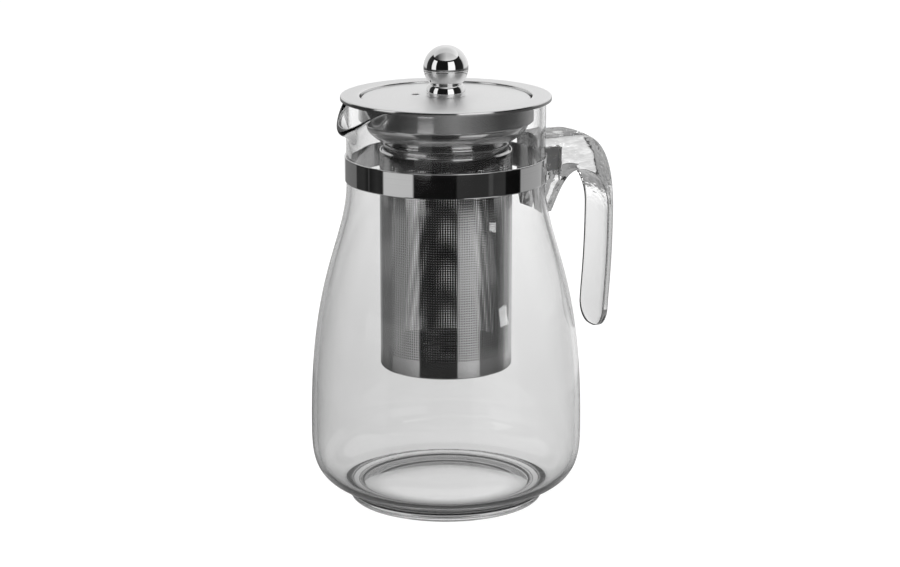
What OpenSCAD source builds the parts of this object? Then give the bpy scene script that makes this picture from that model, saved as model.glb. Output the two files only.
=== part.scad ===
// Fruit infuser pitcher: a blown glass jug with a pinched spout, a steel band that holds a clear hook handle,
// and a steel infuser with a ball-knobbed lid. Lengths are in millimetres. The origin is the middle of the foot
// on the table, +Z is up, the handle points along +X and the spout along -X.

/* [Glass jug] */
// Diameter of the foot ring
foot_d = 91; // [84:0.5:96]
// Height of the foot ring's straight side
foot_h = 3.6; // [2:0.2:5]
// Width of the flat face that the jug stands on
foot_face_w = 3.4; // [2:0.2:6]
// Height of the hollow under the base
punt_h = 2.4; // [1:0.2:4]
// Thickness of the glass in the middle of the base
base_t = 4.6; // [3:0.2:7]
// Widest diameter of the belly
belly_d = 130.4; // [122:0.2:138]
// Height of the widest place above the table
belly_z = 36.2; // [30:0.2:50]
// Outer diameter of the neck
neck_d = 94.5; // [88:0.5:98]
// Height of the rim above the table
rim_z = 195.4; // [180:0.2:215]
// Thickness of the glass wall
glass_t = 2.3; // [1.8:0.1:3]

/* [Spout] */
// Distance that the lip reaches out past the neck
spout_reach = 6.2; // [5:0.2:13]
// Distance that the lip dips below the rim
spout_drop = 12; // [6:0.2:15]
// Height of the neck that the spout is drawn from
spout_h = 27; // [22:0.5:34]
// Thickness of the rounded lip
spout_bead_t = 3.8; // [2.6:0.1:4.4]
// Angle round the neck from the middle of the spout to its side
spout_side_angle = 45; // [36:3:60]

/* [Neck band] */
// Height of the steel band
band_w = 11.7; // [8:0.1:16]
// Thickness of the steel band
band_t = 0.8; // [0.5:0.1:1.2]
// Distance between the band and the bottom of the spout
band_clear = 0.8; // [0.4:0.1:3]
// Length of the two ears that the handle holds
band_ear_len = 10.8; // [8:0.2:13]
// Width of the hook at the end of each ear
band_hook_w = 2.2; // [1.4:0.1:3]
// Diameter of the pin that keeps the ears apart
pin_d = 1.8; // [1.4:0.1:2.6]

/* [Handle] */
// Width of the handle
handle_w = 25; // [20:0.5:30]
// Distance that the handle reaches out past the neck
handle_reach = 37; // [30:0.5:45]
// Distance from the top of the handle down to its free end
handle_len = 98.2; // [80:0.2:110]
// Distance that the handle's root rises above the band
handle_rise = 6.2; // [3:0.1:9]
// Height of the handle's root against the jug
handle_root_h = 36; // [30:0.5:44]
// Thickness of the root's arm above the finger gap
handle_arm_t = 17; // [13:0.2:20]
// Thickness of the grip along its edges
handle_edge_t = 2.9; // [2:0.1:5]
// Extra thickness along the middle of the grip's outer face
handle_crown = 0.6; // [0.3:0.1:3]
// Radius of the corners at the free end
handle_corner_r = 10.5; // [4:0.5:12]

/* [Infuser] */
// Thickness of the steel sheet
sheet_t = 0.8; // [0.5:0.1:1]
// Outer diameter of the flange that lies on the rim
flange_d = 99.8; // [99.4:0.2:110]
// Height of the flange's turned down edge
flange_edge_h = 2; // [1.6:0.1:4]
// Inner diameter of the collar that the lid drops into
collar_d = 81.4; // [78:0.2:84]
// Depth of the collar down to the ledge that carries the lid
collar_depth = 11; // [8:0.2:14]
// Width of the ledge
ledge_w = 1.6; // [1.2:0.1:2.4]
// Height of the bowl that draws the collar in to the waist
bowl_h = 11.5; // [8:0.5:14]
// Outer diameter of the waist above the basket
waist_d = 60; // [56:0.2:61]
// Height of the waist
waist_h = 2.4; // [1:0.1:4]
// Height of the joint inside the basket's mouth
spigot_h = 5; // [3:0.5:8]
// Outer diameter of the basket
basket_d = 63; // [60:0.2:68]
// Thickness of the basket's wall
basket_t = 0.6; // [0.4:0.1:1]
// Height of the basket
basket_h = 105; // [80:0.5:125]
// Height of the rim turned up around the basket's floor
floor_rim_h = 4; // [2:0.5:8]

/* [Lid] */
// Gap around the lid inside the collar
lid_gap = 0.5; // [0.3:0.1:0.9]
// Distance that the lid's edge lies below the flange
lid_recess = 1.1; // [0.4:0.1:2]
// Height of the lid's crown
lid_crown_h = 0.7; // [0.2:0.1:1.2]
// Radius of the lid's edge
lid_edge_r = 1.3; // [1.1:0.1:2.4]
// Diameter of the flat seat in the middle of the lid
lid_seat_d = 22; // [20:0.5:26]
// Diameter of the vent hole
vent_d = 3.8; // [2:0.2:4.6]
// Distance of the vent hole from the middle of the lid
vent_r = 14.6; // [13:0.2:30]
// Direction of the vent hole
vent_angle = 145; // [0:5:355]

/* [Knob] */
// Diameter of the ball
knob_d = 21.2; // [18:0.2:26]
// Height of the knob
knob_h = 23.8; // [21:0.2:28]
// Diameter of the knob's foot
knob_foot_d = 18.6; // [16.4:0.2:20]
// Diameter of the knob's waist
knob_waist_d = 14.8; // [12:0.2:16]
// Distance of the seam below the middle of the ball
knob_seam_drop = 1; // [0.4:0.1:2]
// Diameter of the screw that holds the knob
screw_d = 5; // [4:0.5:6]
// Length of the screw under its head
screw_len = 9; // [7:0.5:11]
// Diameter of the screw's head
screw_head_d = 9; // [8:0.5:10]
// Height of the screw's head
screw_head_h = 2.6; // [2:0.1:4]
// Outer diameter of the washer under the lid
washer_d = 12; // [11:0.5:15]
// Thickness of the washer
washer_t = 1; // [0.6:0.1:1.6]
// Diameter of the threaded boss inside the knob
boss_d = 8.4; // [7.6:0.2:10]
// Thickness of the boss's base plate
boss_plate_t = 1.2; // [0.8:0.1:2]

/* [Hidden] */

// Clearances and the overrun of cuts
seat_gap = 0.15; // between the flange and the glass rim
run_gap = 0.05; // around a screw or a pin in its bore
slot_gap = 0.2; // around the ears in the handle
fit_gap = 0.1; // between the handle's root and what it bears on
weld = 0.15; // that the spout's foot and sides lie inside the neck's faces
overrun = 1;

// Smoothness
$fn = 120;
curve_steps = 14;
lip_steps = 8;
bend_steps = 5;

// Jug
foot_r = foot_d / 2;
belly_r = belly_d / 2;
neck_r = neck_d / 2;
spout_z = rim_z - spout_h;
band_top_z = spout_z - band_clear;
band_z = band_top_z - band_w;
shoulder_z = band_z - band_t;
base_pull_shares = [1.02, 0.165];
base_end_share = 0.44;
shoulder_pull_share = 0.645;
shoulder_end_share = 0.25;
punt_pull_share = 0.9;
spout_curve = 4.5; // power of the curve that leads the glass out to the lip
spout_pinch = 1.8; // power that draws the spout's sides in towards its middle
bead_curve = 4; // power of the thickening towards the lip
spout_step_angle = 3;
spout_root_h = glass_t / 2;

// Band
band_r = neck_r + band_t;
ear_inner_y = pin_d / 2;
ear_outer_y = ear_inner_y + band_t;
ear_end_x = neck_r + band_ear_len;
pin_x = ear_end_x - pin_d;

// Handle
handle_top_z = band_top_z + handle_rise;
handle_r = neck_r + handle_reach;
root_r = neck_r - handle_edge_t;
handle_grip_z = handle_top_z - handle_root_h - handle_edge_t;
handle_end_z = handle_top_z - handle_len;
arm_share = 0.48; // of the reach, out to where the arm begins to bend
apex_share = 0.49; // of the reach, out to the top of the finger gap
tail_share = 0.075; // of the reach, out to the end of the root's tail
end_draw_share = 0.068; // of the reach, back in to the free end
tail_pull_shares = [0.28, 0.48]; // of the way across and up from the tail to the top of the finger gap
outer_bend_shares = [0.78, 0.5]; // of the outer bend's width and height, for its curve's handles
inner_bend_shares = [0.62, 0.54]; // the same for the inner bend
grip_pull_share = 0.55; // of the grip's height
dome_shares = [-1, -0.85, -0.6, -0.3, 0, 0.3, 0.6, 0.85, 1]; // of the half width

// Infuser
flange_r = flange_d / 2;
flange_z = rim_z + seat_gap;
flange_top_z = flange_z + sheet_t;
collar_r = collar_d / 2;
ledge_z = flange_top_z - collar_depth;
ledge_r = collar_r - ledge_w;
basket_r = basket_d / 2;
basket_bore_r = basket_r - basket_t;
waist_r = waist_d / 2;
waist_z = ledge_z - sheet_t - bowl_h;
basket_top_z = waist_z - waist_h;
basket_z = basket_top_z - basket_h;

// Lid
lid_r = collar_r - lid_gap;
lid_edge_z = flange_top_z - lid_recess;
lid_top_z = lid_edge_z + lid_crown_h;
lid_seat_r = lid_seat_d / 2;

// Knob
knob_r = knob_d / 2;
knob_z = lid_top_z;
knob_ball_z = knob_z + knob_h - knob_r;
knob_foot_r = knob_foot_d / 2;
knob_waist_r = knob_waist_d / 2;
foot_pull_share = 0.5; // of the foot's height above its edge, for the swell of its side
foot_shoulder_share = 0.5; // of the foot's width past the waist, for its shoulder
waist_angle = -acos(knob_waist_r / knob_r);
seam_angle = -asin(knob_seam_drop / knob_r);
screw_r = screw_d / 2;
screw_bore_r = screw_r + run_gap;

// Points and curves

function reversed(list) = [for (i = [len(list) - 1:-1:0]) list[i]];
function bezier(a, b, c, d, t) =
  pow(1 - t, 3) * a + 3 * pow(1 - t, 2) * t * b + 3 * (1 - t) * t * t * c + pow(t, 3) * d;
function bezier_points(a, b, c, d, steps) = [for (i = [0:steps]) bezier(a, b, c, d, i / steps)];
function arc_points(centre, r, from, to, steps) =
  [for (i = [0:steps]) let (a = from + (to - from) * i / steps) centre + r * [cos(a), sin(a)]];
function unit(v) = v / norm(v);
function left_of(path, i) = let (v = unit(path[i + 1] - path[i])) [-v[1], v[0]];
// The path moved sideways by d, to its left, with every straight stretch kept parallel
function shifted(path, d) = [
  for (i = [0:len(path) - 1])
    let (a = left_of(path, max(i - 1, 0)), b = left_of(path, min(i, len(path) - 2)))
      path[i] + d * (a + b) / (1 + a * b)
];
function strip(path, t) = concat(path, reversed(shifted(path, t)));
function at_angle(point, angle) = [point[0] * cos(angle), point[0] * sin(angle), point[1]];

// A solid skin over sections that have the same number of points, each closed at both ends by a ladder of
// triangles between its two sides
module skin(sections) {
  n = len(sections[0]);
  last = (len(sections) - 1) * n;
  sides = [
    for (i = [0:len(sections) - 2], j = [0:n - 1])
      let (a = i * n + j, b = i * n + (j + 1) % n)
        each [[a, b, b + n], [a, b + n, a + n]]
  ];
  start = [
    for (j = [0:floor((n - 1) / 2) - 1])
      each [if (n - 2 - j > j + 1) [j, n - 2 - j, j + 1], [j, n - 1 - j, n - 2 - j]]
  ];
  end = [for (f = start) [last + f[0], last + f[2], last + f[1]]];
  polyhedron([for (s = sections) each s], concat(sides, start, end));
}

// Jug

glass_side = concat(
  bezier_points(
    [foot_r, foot_h],
    [foot_r, foot_h] + [
      base_pull_shares[0] * (belly_r - foot_r),
      base_pull_shares[1] * (belly_z - foot_h)
    ],
    [belly_r, belly_z - base_end_share * (belly_z - foot_h)],
    [belly_r, belly_z],
    curve_steps
  ),
  [
    for (i = [1:curve_steps])
      bezier(
        [belly_r, belly_z],
        [belly_r, belly_z + shoulder_pull_share * (shoulder_z - belly_z)],
        [neck_r, shoulder_z - shoulder_end_share * (shoulder_z - belly_z)],
        [neck_r, shoulder_z],
        i / curve_steps
      )
  ],
  [[neck_r, rim_z - glass_t / 2]]
);

// How far the glass at an angle from the spout's middle is drawn towards the lip, from 0 to 1
function draw_at(angle) = pow((1 + cos(180 * angle / spout_side_angle)) / 2, spout_pinch);

// The spout's section, drawn out by a share of its full reach. Where it leaves the neck each face lies a weld
// inside the neck's, so that its foot and both its ends run on inside the neck's own glass.
function spout_section(draw) =
  let (
    top_z = rim_z - glass_t / 2 - spout_drop * draw,
    height = top_z - spout_z,
    middle = [
      for (i = [0:lip_steps])
        let (u = i / lip_steps)
          [neck_r - glass_t / 2 + spout_reach * draw * pow(u, spout_curve), spout_z + height * u]
    ],
    foot = [neck_r - glass_t / 2, spout_z - spout_root_h],
    out = [
      for (i = [0:lip_steps])
        let (u = i / lip_steps)
          unit([height, -spout_reach * draw * spout_curve * pow(u, spout_curve - 1)])
    ],
    half = [
      for (i = [0:lip_steps])
        let (u = i / lip_steps)
          (glass_t + (spout_bead_t - glass_t) * draw * pow(u, bead_curve)) / 2 - weld * (1 - draw * u)
    ],
    up = [-out[lip_steps][1], out[lip_steps][0]]
  )
  concat(
    [foot + [half[0], 0]],
    [for (i = [0:lip_steps]) middle[i] + half[i] * out[i]],
    [
      for (i = [1:lip_steps - 1])
        let (a = 180 * i / lip_steps)
          middle[lip_steps] + half[lip_steps] * (cos(a) * out[lip_steps] + sin(a) * up)
    ],
    [for (i = [lip_steps:-1:0]) middle[i] - half[i] * out[i]],
    [foot - [half[0], 0]]
  );

module glass_vessel() {
  rotate_extrude()
    polygon(concat(
      [[foot_r - foot_face_w, 0], [foot_r, 0]],
      glass_side,
      [
        for (i = [1:lip_steps - 1])
          let (a = 180 * i / lip_steps)
            [neck_r - glass_t / 2, rim_z - glass_t / 2] + glass_t / 2 * [cos(a), sin(a)]
      ],
      reversed(shifted(glass_side, glass_t)),
      [[0, punt_h + base_t], [0, punt_h]],
      [
        for (i = [1:curve_steps - 1])
          bezier(
            [0, punt_h],
            [punt_pull_share * (foot_r - foot_face_w), punt_h],
            [foot_r - foot_face_w, punt_h],
            [foot_r - foot_face_w, 0],
            i / curve_steps
          )
      ]
    ));
}

// What the spout takes the place of
module spout_sector() {
  rotate([0, 0, 180 - spout_side_angle])
    rotate_extrude(angle = 2 * spout_side_angle)
      translate([neck_r - glass_t - overrun, spout_z])
        square([glass_t + 2 * overrun, spout_h + overrun]);
}

module glass_spout() {
  side = spout_side_angle + spout_step_angle;
  skin([
    for (a = [-side:spout_step_angle:side])
      [for (p = spout_section(draw_at(min(abs(a), spout_side_angle)))) at_angle(p, 180 + a)]
  ]);
}

module glass_body() {
  color("aliceblue", 0.4) {
    difference() {
      glass_vessel();
      spout_sector();
    }
    glass_spout();
  }
}

// Neck band and its pin

module band_outline() {
  difference() {
    circle(band_r);
    circle(neck_r);
    translate([0, -ear_inner_y])
      square([band_r + overrun, 2 * ear_inner_y]);
  }
  for (side = [0, 1])
    mirror([0, side]) {
      difference() {
        translate([0, ear_inner_y])
          square([ear_end_x, band_t]);
        circle(neck_r);
      }
      translate([ear_end_x - band_t, ear_inner_y])
        square([band_t, band_t + band_hook_w]);
    }
}

module neck_band() {
  color("silver")
    translate([0, 0, band_z])
      linear_extrude(band_w)
        band_outline();
}

module lock_pin() {
  color("dimgray")
    translate([pin_x, 0, band_z])
      cylinder(h = band_w, r = pin_d / 2 - run_gap);
}

// Handle

grip_top = [handle_r, handle_grip_z];
grip_end = [handle_r - end_draw_share * handle_reach, handle_end_z];
arm_end = [neck_r + arm_share * handle_reach, handle_top_z];
gap_top = [neck_r + apex_share * handle_reach, handle_top_z - handle_arm_t];
tail_end = [neck_r + tail_share * handle_reach, handle_top_z - handle_root_h];
tail_rise = gap_top - tail_end;
inner_grip_top = grip_top - [handle_edge_t, 0];
inner_grip_end = grip_end - [handle_edge_t, 0];

// Outer and inner edges of the handle, as pairs of points from the jug out to the free end
root_pairs = [
  for (i = [0:curve_steps])
    let (
      t = i / curve_steps,
      outer = [root_r, handle_top_z] + t * (arm_end - [root_r, handle_top_z]),
      tail_in = [root_r, tail_end[1]],
      inner = i == 0 ? tail_in : bezier(
        tail_end,
        tail_end + [tail_pull_shares[0] * tail_rise[0], tail_pull_shares[1] * tail_rise[1]],
        gap_top - [tail_pull_shares[1] * tail_rise[0], 0],
        gap_top,
        (i - 1) / (curve_steps - 1)
      )
    )
    [outer, inner]
];
bend_pairs = [
  for (i = [1:curve_steps])
    let (t = i / curve_steps)
      [
        bezier(
          arm_end,
          arm_end + [outer_bend_shares[0] * (grip_top[0] - arm_end[0]), 0],
          grip_top + [0, outer_bend_shares[1] * (arm_end[1] - grip_top[1])],
          grip_top,
          t
        ),
        bezier(
          gap_top,
          gap_top + [inner_bend_shares[0] * (inner_grip_top[0] - gap_top[0]), 0],
          inner_grip_top + [0, inner_bend_shares[1] * (gap_top[1] - inner_grip_top[1])],
          inner_grip_top,
          t
        )
      ]
];
// The steps grow shorter towards the free end, where the corners are round
grip_pairs = [
  for (i = [1:curve_steps])
    let (
      t = 1 - pow(1 - i / curve_steps, 2),
      pull = [0, (grip_top[1] - grip_end[1]) * grip_pull_share]
    )
    [
      bezier(grip_top, grip_top - pull, grip_end + pull / 2, grip_end, t),
      bezier(inner_grip_top, inner_grip_top - pull, inner_grip_end + pull / 2, inner_grip_end, t)
    ]
];

// One section across the handle: flat inside, crowned outside, narrower where the free end is rounded
function handle_section(pair) =
  let (
    out = unit(pair[0] - pair[1]),
    left = max(pair[0][1] - handle_end_z, 0),
    into_corner = max(handle_corner_r - left, 0),
    half_w = handle_w / 2 - handle_corner_r
      + sqrt(max(handle_corner_r * handle_corner_r - into_corner * into_corner, 0)),
    crown = handle_crown * half_w / (handle_w / 2)
  )
  concat(
    [[pair[1][0], half_w, pair[1][1]], [pair[1][0], -half_w, pair[1][1]]],
    [
      for (s = dome_shares)
        let (p = pair[0] + crown * (1 - s * s) * out)
          [p[0], s * half_w, p[1]]
    ]
  );

module handle_blank() {
  skin([for (pair = concat(root_pairs, bend_pairs, grip_pairs)) handle_section(pair)]);
}

// What the root fits round: the glass, the band in its groove and the slot for the band's ears
module handle_cuts() {
  rotate_extrude()
    polygon(concat([[0, foot_h]], shifted(glass_side, -fit_gap), [[0, rim_z]]));
  translate([0, 0, band_z - fit_gap])
    cylinder(h = band_w + 2 * fit_gap, r = band_r + fit_gap);
  translate([0, -ear_outer_y - slot_gap, tail_end[1] - overrun])
    cube([
      ear_end_x + slot_gap,
      2 * (ear_outer_y + slot_gap),
      band_top_z + slot_gap - tail_end[1] + overrun
    ]);
  translate([ear_end_x - band_t - slot_gap, -ear_outer_y - band_hook_w - slot_gap, tail_end[1] - overrun])
    cube([
      band_t + 2 * slot_gap,
      2 * (ear_outer_y + band_hook_w + slot_gap),
      band_top_z + slot_gap - tail_end[1] + overrun
    ]);
}

module handle() {
  color("whitesmoke", 0.5)
    difference() {
      handle_blank();
      handle_cuts();
    }
}

// Infuser

collar_line = concat(
  [[flange_r, flange_top_z - flange_edge_h]],
  arc_points([flange_r - sheet_t, flange_top_z - sheet_t], sheet_t, 0, 90, bend_steps),
  arc_points([collar_r + sheet_t, flange_top_z - sheet_t], sheet_t, 90, 180, bend_steps),
  [[collar_r, ledge_z], [ledge_r, ledge_z]],
  [
    for (i = [0:curve_steps])
      bezier(
        [ledge_r - sheet_t, ledge_z - sheet_t],
        [ledge_r - sheet_t, ledge_z - sheet_t - bowl_h / 2],
        [waist_r - sheet_t, waist_z + bowl_h / 3],
        [waist_r - sheet_t, waist_z],
        i / curve_steps
      )
  ],
  [
    [waist_r - sheet_t, basket_top_z],
    [basket_bore_r - sheet_t, basket_top_z - (basket_bore_r - waist_r)],
    [basket_bore_r - sheet_t, basket_top_z - spigot_h]
  ]
);

module infuser_collar() {
  color("gainsboro")
    rotate_extrude()
      polygon(strip(collar_line, sheet_t));
}

module tube(height, outer_r, bore_r) {
  difference() {
    cylinder(h = height, r = outer_r);
    translate([0, 0, -overrun])
      cylinder(h = height + 2 * overrun, r = bore_r);
  }
}

module infuser_basket() {
  color("darkgray")
    translate([0, 0, basket_z])
      tube(basket_h, basket_r, basket_bore_r);
}

module basket_floor() {
  color("silver")
    translate([0, 0, basket_z])
      difference() {
        cylinder(h = floor_rim_h, r = basket_bore_r);
        translate([0, 0, basket_t])
          cylinder(h = floor_rim_h, r = basket_bore_r - basket_t);
      }
}

// Lid

lid_line = concat(
  [[screw_r + 2 * run_gap, lid_top_z], [lid_seat_r, lid_top_z]],
  [
    for (i = [1:curve_steps])
      bezier(
        [lid_seat_r, lid_top_z],
        [lid_seat_r + (lid_r - lid_seat_r) / 3, lid_top_z],
        [lid_r - lid_edge_r - (lid_r - lid_seat_r) / 3, lid_edge_z + lid_crown_h / 3],
        [lid_r - lid_edge_r, lid_edge_z],
        i / curve_steps
      )
  ],
  [
    for (i = [1:bend_steps])
      [lid_r - lid_edge_r, lid_edge_z - lid_edge_r]
      + lid_edge_r * [sin(90 * i / bend_steps), cos(90 * i / bend_steps)]
  ],
  [[lid_r, ledge_z]]
);

module lid_plate() {
  color("gainsboro")
    difference() {
      rotate_extrude()
        polygon(concat(lid_line, reversed(shifted(lid_line, -sheet_t))));
      rotate([0, 0, vent_angle])
        translate([vent_r, 0, ledge_z])
          cylinder(h = collar_depth + overrun, r = vent_d / 2);
    }
}

// Knob

foot_edge_h = boss_plate_t + fit_gap;
waist_height = knob_ball_z + knob_r * sin(waist_angle) - knob_z;

// The lower shell's outline, moved in by d
function knob_side(d) = concat(
  [[knob_foot_r - d, knob_z]],
  bezier_points(
    [knob_foot_r - d, knob_z + foot_edge_h],
    [knob_foot_r - d, knob_z + foot_edge_h + foot_pull_share * (waist_height - d - foot_edge_h)],
    [knob_waist_r - d + foot_shoulder_share * (knob_foot_r - knob_waist_r), knob_z + waist_height - d],
    [knob_waist_r - d, knob_z + waist_height - d],
    curve_steps
  ),
  arc_points([0, knob_ball_z], knob_r - d, waist_angle + (d > 0 ? bend_steps : 0), seam_angle, curve_steps)
);

module knob_base() {
  color("silver")
    rotate_extrude()
      polygon(concat(knob_side(0), reversed(knob_side(sheet_t))));
}

module knob_cap() {
  color("silver")
    rotate_extrude()
      polygon(concat(
        arc_points([0, knob_ball_z], knob_r, seam_angle, 90, 2 * curve_steps),
        reversed(arc_points([0, knob_ball_z], knob_r - sheet_t, seam_angle, 90, 2 * curve_steps))
      ));
}

boss_plate_r = knob_foot_r - sheet_t - run_gap;
boss_h = screw_len - sheet_t - washer_t + overrun;

module knob_boss() {
  color("gray")
    translate([0, 0, knob_z])
      difference() {
        union() {
          cylinder(h = boss_plate_t, r = boss_plate_r);
          cylinder(h = boss_h, r = boss_d / 2);
        }
        translate([0, 0, -overrun])
          cylinder(h = boss_h + 2 * overrun, r = screw_bore_r);
      }
}

screw_seat_z = lid_top_z - sheet_t - washer_t;

module knob_screw() {
  color("gray") {
    translate([0, 0, screw_seat_z])
      cylinder(h = screw_len, r = screw_r);
    translate([0, 0, screw_seat_z - screw_head_h])
      cylinder(h = screw_head_h, r = screw_head_d / 2);
  }
}

module knob_washer() {
  color("dimgray")
    translate([0, 0, screw_seat_z])
      tube(washer_t, washer_d / 2, screw_bore_r);
}

glass_body();
neck_band();
lock_pin();
handle();
infuser_collar();
infuser_basket();
basket_floor();
lid_plate();
knob_base();
knob_cap();
knob_boss();
knob_screw();
knob_washer();
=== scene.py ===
import math

import bmesh
import bpy
from mathutils import Matrix, Vector

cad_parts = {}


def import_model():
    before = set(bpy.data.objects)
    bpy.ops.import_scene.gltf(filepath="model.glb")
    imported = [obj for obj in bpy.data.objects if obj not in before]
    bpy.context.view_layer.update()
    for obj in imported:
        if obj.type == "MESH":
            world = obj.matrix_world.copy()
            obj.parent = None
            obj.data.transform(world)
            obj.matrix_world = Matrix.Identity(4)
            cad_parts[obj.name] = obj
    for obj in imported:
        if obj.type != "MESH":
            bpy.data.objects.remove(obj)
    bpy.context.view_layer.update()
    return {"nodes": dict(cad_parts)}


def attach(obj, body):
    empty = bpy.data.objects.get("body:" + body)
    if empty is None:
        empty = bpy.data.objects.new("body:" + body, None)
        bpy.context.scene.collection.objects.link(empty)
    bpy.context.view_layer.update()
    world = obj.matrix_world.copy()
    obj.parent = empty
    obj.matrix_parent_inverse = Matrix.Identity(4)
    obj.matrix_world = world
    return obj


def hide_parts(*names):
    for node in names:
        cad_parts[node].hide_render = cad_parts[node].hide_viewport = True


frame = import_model()

# Sizes in millimetres, as in part.scad but for the foot and the base, which follow the photograph.
# Meshes are made in millimetres and scaled to metres.
MM = 0.001
FOOT_R, FOOT_H, FOOT_FACE = 46.4, 5.9, 3.4
PUNT_H, BASE_T, GLASS_T = 4.7, 2.7, 2.3
BELLY_R, BELLY_Z, NECK_R, RIM_Z = 65.2, 36.2, 47.25, 195.4
# The control points of the side: above the foot, under and over the belly, and under the neck.
FOOT_PULL, BELLY_LOW, BELLY_HIGH, NECK_LOW = (65.2, 9.4), 21.3, 112.89, 125.375
SPOUT_Z, SPOUT_REACH, SPOUT_DROP, SPOUT_BEAD, SPOUT_SIDE = 168.4, 6.2, 12.0, 3.8, 45.0
SPOUT_CURVE, SPOUT_PINCH = 4.5, 1.8
BAND_Z, BAND_W, BAND_T = 155.9, 11.7, 0.8
SHOULDER_Z = 155.1
EAR_FROM, EAR_INNER, EAR_END, HOOK_W = 49.4, 0.9, 58.05, 2.2
PIN_R, PIN_EDGE, PIN_BACK = 0.85, 0.25, 1.8
HANDLE_W, HANDLE_TOP, HANDLE_EDGE, HANDLE_CROWN, HANDLE_CORNER = 25.0, 173.8, 2.9, 0.6, 10.5
HANDLE_R, ROOT_R, GRIP_Z, HANDLE_END = 84.25, 44.35, 134.9, 75.6
ARM_END_R, GAP_TOP, TAIL, GRIP_END_R = 65.01, (65.38, 156.8), (50.025, 137.8), 81.734
SLOT_LOW, SLOT_HALF, HOOK_HALF, ROOM = 136.5, 1.9, 4.1, 0.1
SHEET = 0.8
FLANGE_R, FLANGE_TOP, FLANGE_EDGE = 49.9, 196.35, 2.0
COLLAR_R, LEDGE_Z, LEDGE_R, WAIST_R, WAIST_Z, BOWL_H = 40.7, 185.35, 39.1, 30.0, 173.05, 11.5
BASKET_R, BASKET_T, BASKET_Z, BASKET_TOP = 31.5, 0.6, 65.65, 170.65
MESH_LOW, MESH_HIGH = 74.0, 169.4
LID_R, LID_EDGE_Z, LID_TOP, LID_SEAT, LID_EDGE_R = 40.2, 195.25, 195.95, 11.0, 1.3
VENT_R, VENT_AT, VENT_ANGLE = 1.9, 14.6, 145.0
KNOB_R, KNOB_Z, BALL_Z, KNOB_FOOT, KNOB_WAIST = 10.6, 195.95, 209.15, 9.3, 7.4

# Half the width of a basket hole inside and at its rim, the distance between holes and the depth of their walls.
HOLE, HOLE_RIM, PITCH, HOLE_DEPTH = 0.25, 0.33, 1.2, 0.16
# The angles between which the perforated sheet overlaps and has no holes.
PLAIN_FROM, PLAIN_TO = 157.0, 193.0

# Edges that turn by more degrees than this stay sharp.
SHARP = 32.0
VIEW_AZIMUTH = -25.0


def lerp(a, b, t):
    return a + (b - a) * t


def smooth(x):
    x = min(1.0, max(0.0, x))
    return x * x * (3 - 2 * x)


def bezier(a, b, c, d, t):
    return tuple(
        (1 - t) ** 3 * a[i] + 3 * (1 - t) ** 2 * t * b[i] + 3 * (1 - t) * t * t * c[i] + t ** 3 * d[i]
        for i in range(len(a))
    )


def bezier_points(a, b, c, d, steps, first=0):
    return [bezier(a, b, c, d, i / steps) for i in range(first, steps + 1)]


def arc(centre, r, start, end, steps, first=0):
    out = []
    for i in range(first, steps + 1):
        a = math.radians(lerp(start, end, i / steps))
        out.append((centre[0] + r * math.cos(a), centre[1] + r * math.sin(a)))
    return out


def normal(a, b):
    """The unit normal to the left of the way from a to b."""
    dx, dy = b[0] - a[0], b[1] - a[1]
    n = math.hypot(dx, dy) or 1.0
    return -dy / n, dx / n


def moved(path, d):
    """The path moved to its left by d, with a mitre at each corner."""
    out = []
    for i, p in enumerate(path):
        before, after = max(i - 1, 0), min(i, len(path) - 2)
        na = normal(path[before], path[before + 1])
        nb = normal(path[after], path[after + 1])
        k = d / (1 + na[0] * nb[0] + na[1] * nb[1])
        out.append((p[0] + k * (na[0] + nb[0]), p[1] + k * (na[1] + nb[1])))
    return out


def rounded(corners, steps=3):
    """A closed outline from (x, y, radius) corners."""
    out = []
    n = len(corners)
    for i, (x, y, r) in enumerate(corners):
        ax, ay = corners[i - 1][:2]
        bx, by = corners[(i + 1) % n][:2]
        if r <= 0:
            out.append((x, y))
            continue
        ux, uy = ax - x, ay - y
        vx, vy = bx - x, by - y
        lu, lv = math.hypot(ux, uy), math.hypot(vx, vy)
        ux, uy, vx, vy = ux / lu, uy / lu, vx / lv, vy / lv
        half = math.acos(max(-1.0, min(1.0, ux * vx + uy * vy))) / 2
        reach = min(r / math.tan(half), 0.49 * lu, 0.49 * lv)
        p, q = (x + ux * reach, y + uy * reach), (x + vx * reach, y + vy * reach)
        for k in range(steps + 1):
            t = k / steps
            out.append(
                (
                    (1 - t) ** 2 * p[0] + 2 * t * (1 - t) * x + t * t * q[0],
                    (1 - t) ** 2 * p[1] + 2 * t * (1 - t) * y + t * t * q[1],
                )
            )
    return out


def link(name, verts, faces):
    """A new object from points in millimetres."""
    mesh = bpy.data.meshes.new(name)
    mesh.from_pydata([tuple(c * MM for c in v) for v in verts], [], faces)
    obj = bpy.data.objects.new(name, mesh)
    bpy.context.scene.collection.objects.link(obj)
    return obj


def set_smooth(mesh, sharp):
    mesh.shade_smooth()
    mesh.set_sharp_from_angle(angle=math.radians(sharp))


def make(name, verts, faces, sharp=SHARP):
    """A smooth solid, with doubled points joined and its faces turned outwards."""
    obj = link(name, verts, faces)
    mesh = obj.data
    mesh.validate()
    bm = bmesh.new()
    bm.from_mesh(mesh)
    bmesh.ops.remove_doubles(bm, verts=bm.verts, dist=1e-7)
    bmesh.ops.recalc_face_normals(bm, faces=bm.faces)
    bm.to_mesh(mesh)
    bm.free()
    set_smooth(mesh, sharp)
    return obj


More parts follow.
